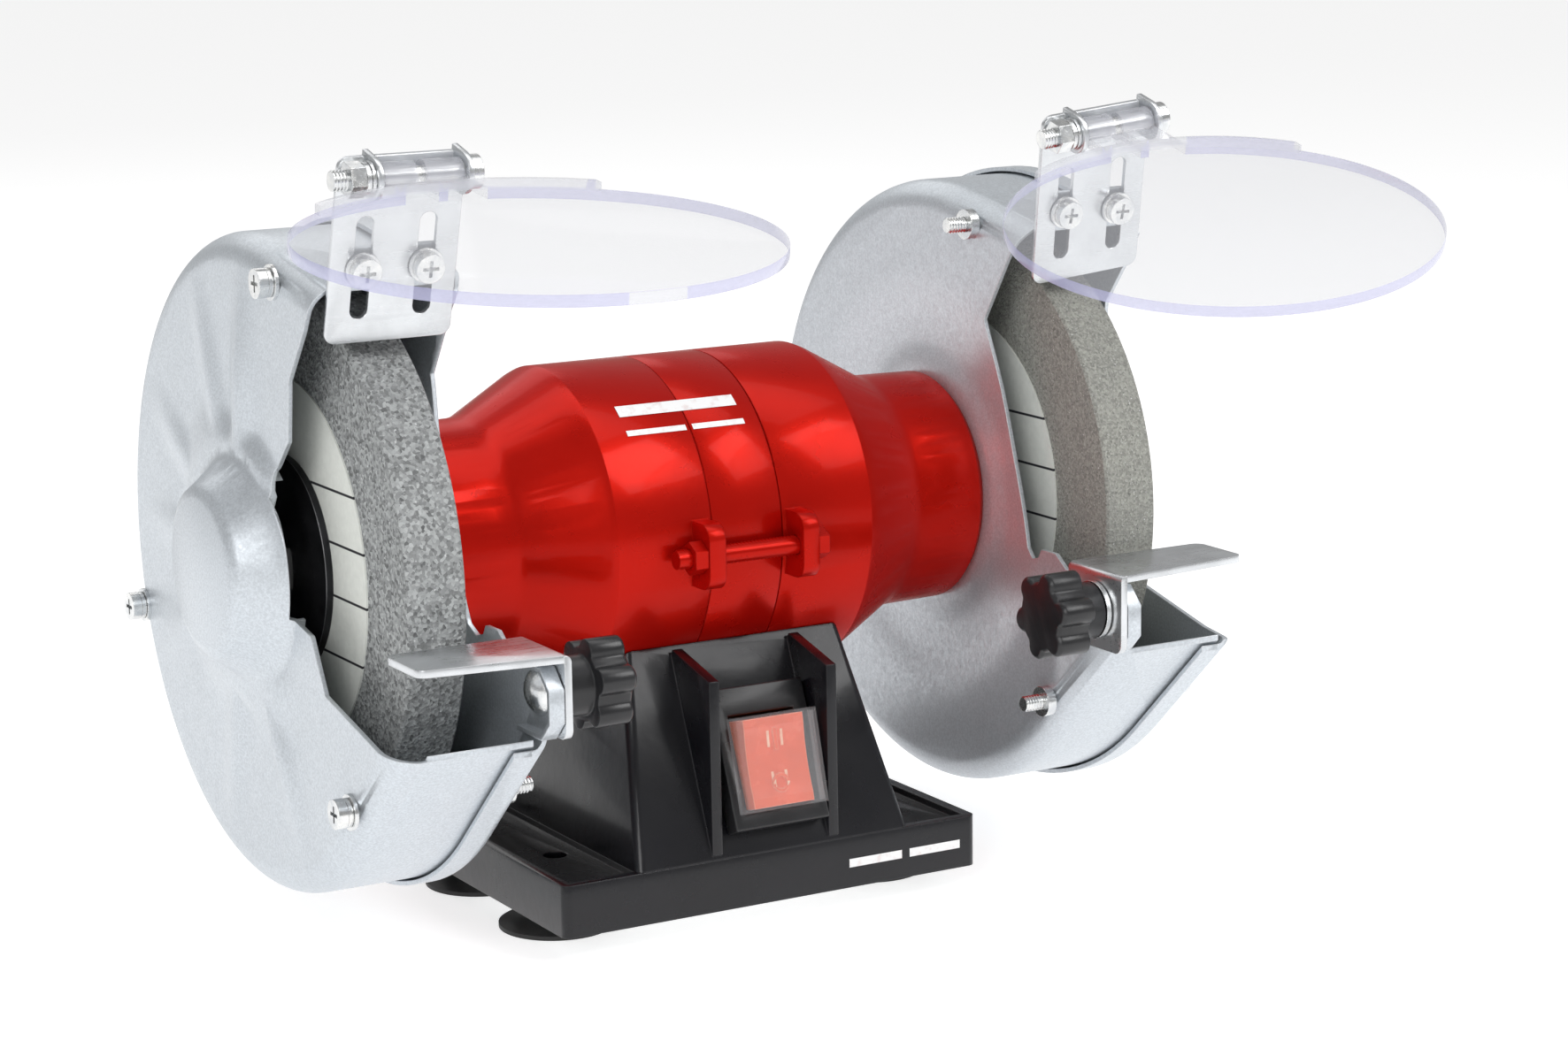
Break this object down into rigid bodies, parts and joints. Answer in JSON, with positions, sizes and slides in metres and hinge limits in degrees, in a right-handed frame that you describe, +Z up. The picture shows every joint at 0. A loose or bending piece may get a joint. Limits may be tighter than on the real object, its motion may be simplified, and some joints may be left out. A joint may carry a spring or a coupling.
{
  "type": "bench grinder",
  "caption": "bench grinder with a wheel at each end of a red motor on a black pedestal, silver wheel guards, adjustable tool rests and clear tilting eye shields",
  "frame": {"origin": "on the bench, at the middle of the four bench bolt holes", "axes": "+X along the shaft, to the right seen from the switch; +Y to the back; +Z up"},
  "size_m": [0.3168, 0.2756, 0.2209],
  "materials": {
    "black_casting": "gloss black paint on cast metal",
    "zinc": "bright zinc plate",
    "galvanised_sheet": "zinc plated sheet, fine rolling marks",
    "rubber": "matt black rubber",
    "black_plastic": "semi-gloss black plastic",
    "rocker_red": "red plastic",
    "clear_plastic": "clear polycarbonate with a faint violet edge",
    "red_paint": "gloss red paint",
    "silver_paint": "silver hammered paint, metallic",
    "coarse_abrasive": "opaque coarse grey grains in a vitrified, glassy bond",
    "fine_abrasive": "opaque finer grey grains in a vitrified, glassy bond",
    "paper": "off-white paper",
    "machined_steel": "bare machined steel",
    "dark_flange": "black oxide steel",
    "copper": "enamelled copper wire",
    "fan_plastic": "dark moulded plastic"
  },
  "bodies": {
    "housing": {"base_bottom_plate": "zinc", "bearing_outer_rings": "machined_steel", "bottom_plate_screws": "zinc", "bracket_screws": "zinc", "cable_gland": "black_plastic", "capacitor_clip": "zinc", "carriage_bolts": "zinc", "cover_nuts": "zinc", "cover_screws": "zinc", "cover_washers": "zinc", "guard_mount_screws": "zinc", "left_end_bell": "red_paint", "left_inner_guard": "silver_paint", "left_outer_cover": "silver_paint", "motor_mount_screws": "zinc", "pedestal": "black_casting", "pedestal_screws": "zinc", "plinth": "black_casting", "rest_washers": "zinc", "right_end_bell": "red_paint", "right_inner_guard": "silver_paint", "right_outer_cover": "silver_paint", "rubber_feet": "rubber", "run_capacitor": "fan_plastic", "stator_core": "machined_steel", "stator_ring": "red_paint", "stator_windings": "copper", "switch_body": "black_plastic", "switch_frame": "black_plastic", "terminal_block": "black_plastic", "tie_bolts": "red_paint", "tie_nuts": "red_paint", "wave_washers": "zinc"},
    "spindle": {"shaft": "machined_steel", "rotor_core": "machined_steel", "cooling_fan": "fan_plastic", "bearing_inner_rings": "machined_steel", "bearing_balls": "machined_steel", "grinding_wheel_left": "coarse_abrasive", "grinding_wheel_right": "fine_abrasive", "wheel_labels": "paper", "inner_clamp_flanges": "dark_flange", "outer_clamp_flanges": "dark_flange", "spindle_nuts": "machined_steel"},
    "rocker": {"rocker": "rocker_red", "rocker_cover": "clear_plastic"},
    "left_rest": {"left_tool_rest": "galvanised_sheet"},
    "left_knob": {"left_rest_knob": "black_plastic"},
    "left_bracket": {"left_shield_bracket": "galvanised_sheet", "left_hinge_bolt": "zinc", "left_hinge_nut": "zinc"},
    "left_shield": {"left_eye_shield": "clear_plastic"},
    "right_rest": {"right_tool_rest": "galvanised_sheet"},
    "right_knob": {"right_rest_knob": "black_plastic"},
    "right_bracket": {"right_shield_bracket": "galvanised_sheet", "right_hinge_bolt": "zinc", "right_hinge_nut": "zinc"},
    "right_shield": {"right_eye_shield": "clear_plastic"}
  },
  "joints": [
    {"name": "spindle_spin", "type": "hinge", "parent": "housing", "child": "spindle", "pos_m": [0, 0, 0.105], "axis": [1, 0, 0], "continuous": true},
    {"name": "rocker_press", "type": "hinge", "parent": "housing", "child": "rocker", "pos_m": [0.0007, -0.05128, 0.04466], "axis": [-1, 0, 0], "range_deg": [0, 15]},
    {"name": "left_rest_slide", "type": "slide", "parent": "housing", "child": "left_rest", "axis": [0, 1, 0], "range_m": [-0.006, 0.0025]},
    {"name": "left_knob_turn", "type": "hinge", "parent": "housing", "child": "left_knob", "pos_m": [-0.0735, -0.091, 0.0845], "axis": [1, 0, 0], "range_deg": [0, 360]},
    {"name": "left_bracket_slide", "type": "slide", "parent": "housing", "child": "left_bracket", "axis": [0, -0.2756, 0.9613], "range_m": [-0.003, 0.01]},
    {"name": "left_shield_hinge", "type": "hinge", "parent": "left_bracket", "child": "left_shield", "pos_m": [-0.1055, -0.06643, 0.21258], "axis": [1, 0, 0], "range_deg": [-70, 25]},
    {"name": "right_rest_slide", "type": "slide", "parent": "housing", "child": "right_rest", "axis": [0, 1, 0], "range_m": [-0.006, 0.0025]},
    {"name": "right_knob_turn", "type": "hinge", "parent": "housing", "child": "right_knob", "pos_m": [0.0735, -0.091, 0.0845], "axis": [1, 0, 0], "range_deg": [0, 360]},
    {"name": "right_bracket_slide", "type": "slide", "parent": "housing", "child": "right_bracket", "axis": [-0.1045, -0.2741, 0.956], "range_m": [-0.003, 0.01]},
    {"name": "right_shield_hinge", "type": "hinge", "parent": "right_bracket", "child": "right_shield", "pos_m": [0.10278, -0.06639, 0.21245], "axis": [0.9945, -0.0288, 0.1005], "range_deg": [-70, 25]}
  ]
}
